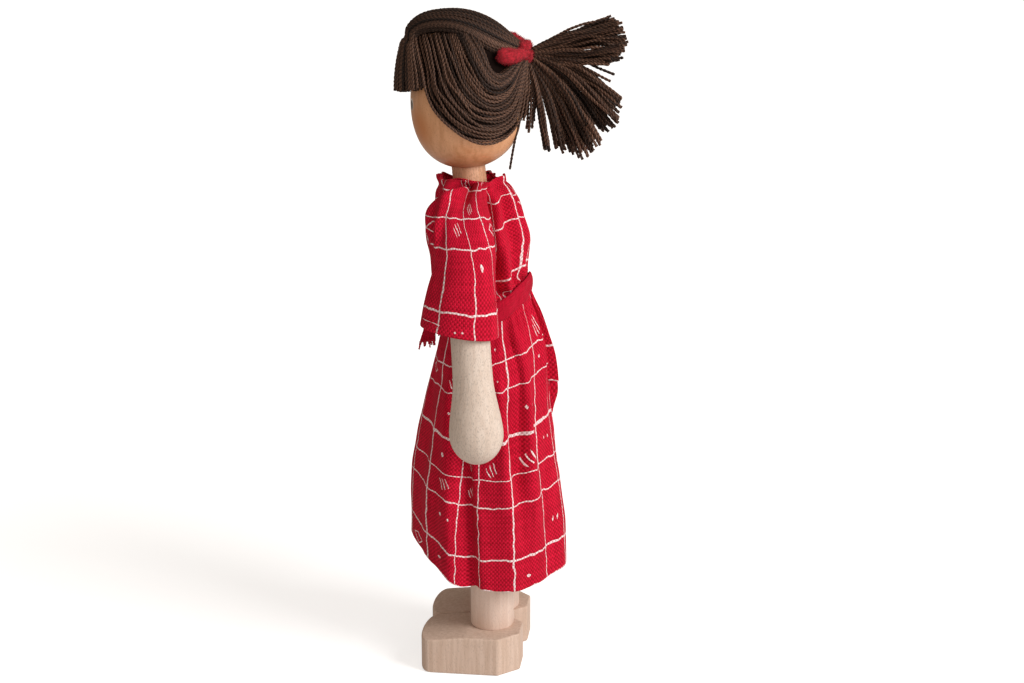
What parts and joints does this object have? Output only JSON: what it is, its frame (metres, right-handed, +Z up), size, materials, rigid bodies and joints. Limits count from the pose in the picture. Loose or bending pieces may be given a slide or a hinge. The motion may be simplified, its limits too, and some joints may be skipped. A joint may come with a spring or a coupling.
{
  "type": "miniature doll",
  "caption": "Standing wooden doll with an egg head, tied yarn hair and a belted cotton dress; the head turns and the arms swing at the shoulders",
  "frame": {"origin": "on the floor, at the middle of the overall footprint", "axes": "+Z up along the doll, -Y the way it faces, +X its left hand"},
  "size_m": [0.0642, 0.0608, 0.1796],
  "materials": {
    "pale_wood": "bare sanded beech, matt",
    "stained_wood": "honey stain under a satin varnish",
    "dress_cotton": "plain-weave printed cotton",
    "belt_knit": "plain red jersey strip",
    "hair_yarn": "two-ply wool yarn",
    "tie_cord": "soft fuzzy cord"
  },
  "bodies": {
    "body": {"torso": "pale_wood", "neck": "pale_wood", "left_leg": "pale_wood", "right_leg": "pale_wood", "left_foot": "pale_wood", "right_foot": "pale_wood", "bodice": "dress_cotton", "skirt": "dress_cotton", "back_placket": "dress_cotton", "belt": "belt_knit", "belt_knot": "belt_knit", "left_belt_tail": "belt_knit", "right_belt_tail": "belt_knit", "neckline_thread": "dress_cotton"},
    "head": {"head": "stained_wood", "hair_crown": "hair_yarn", "hair_left": "hair_yarn", "hair_right": "hair_yarn", "fringe": "hair_yarn", "ponytail_root": "hair_yarn", "ponytail_upper": "hair_yarn", "ponytail_middle": "hair_yarn", "ponytail_lower": "hair_yarn", "hair_tie": "tie_cord"},
    "left_arm": {"left_arm": "pale_wood", "left_shoulder_peg": "pale_wood", "left_sleeve": "dress_cotton"},
    "right_arm": {"right_arm": "pale_wood", "right_shoulder_peg": "pale_wood", "right_sleeve": "dress_cotton"}
  },
  "joints": [
    {"name": "head_turn", "type": "hinge", "parent": "body", "child": "head", "pos_m": [0, -0.01302, 0.15813], "axis": [0, -0.0993, 0.9951], "range_deg": [-80, 80]},
    {"name": "left_shoulder", "type": "hinge", "parent": "body", "child": "left_arm", "pos_m": [0.0195, -0.00938, 0.12174], "axis": [-1, 0, 0], "range_deg": [-35, 80]},
    {"name": "right_shoulder", "type": "hinge", "parent": "body", "child": "right_arm", "pos_m": [-0.0195, -0.00938, 0.12174], "axis": [-1, 0, 0], "range_deg": [-35, 80]}
  ]
}
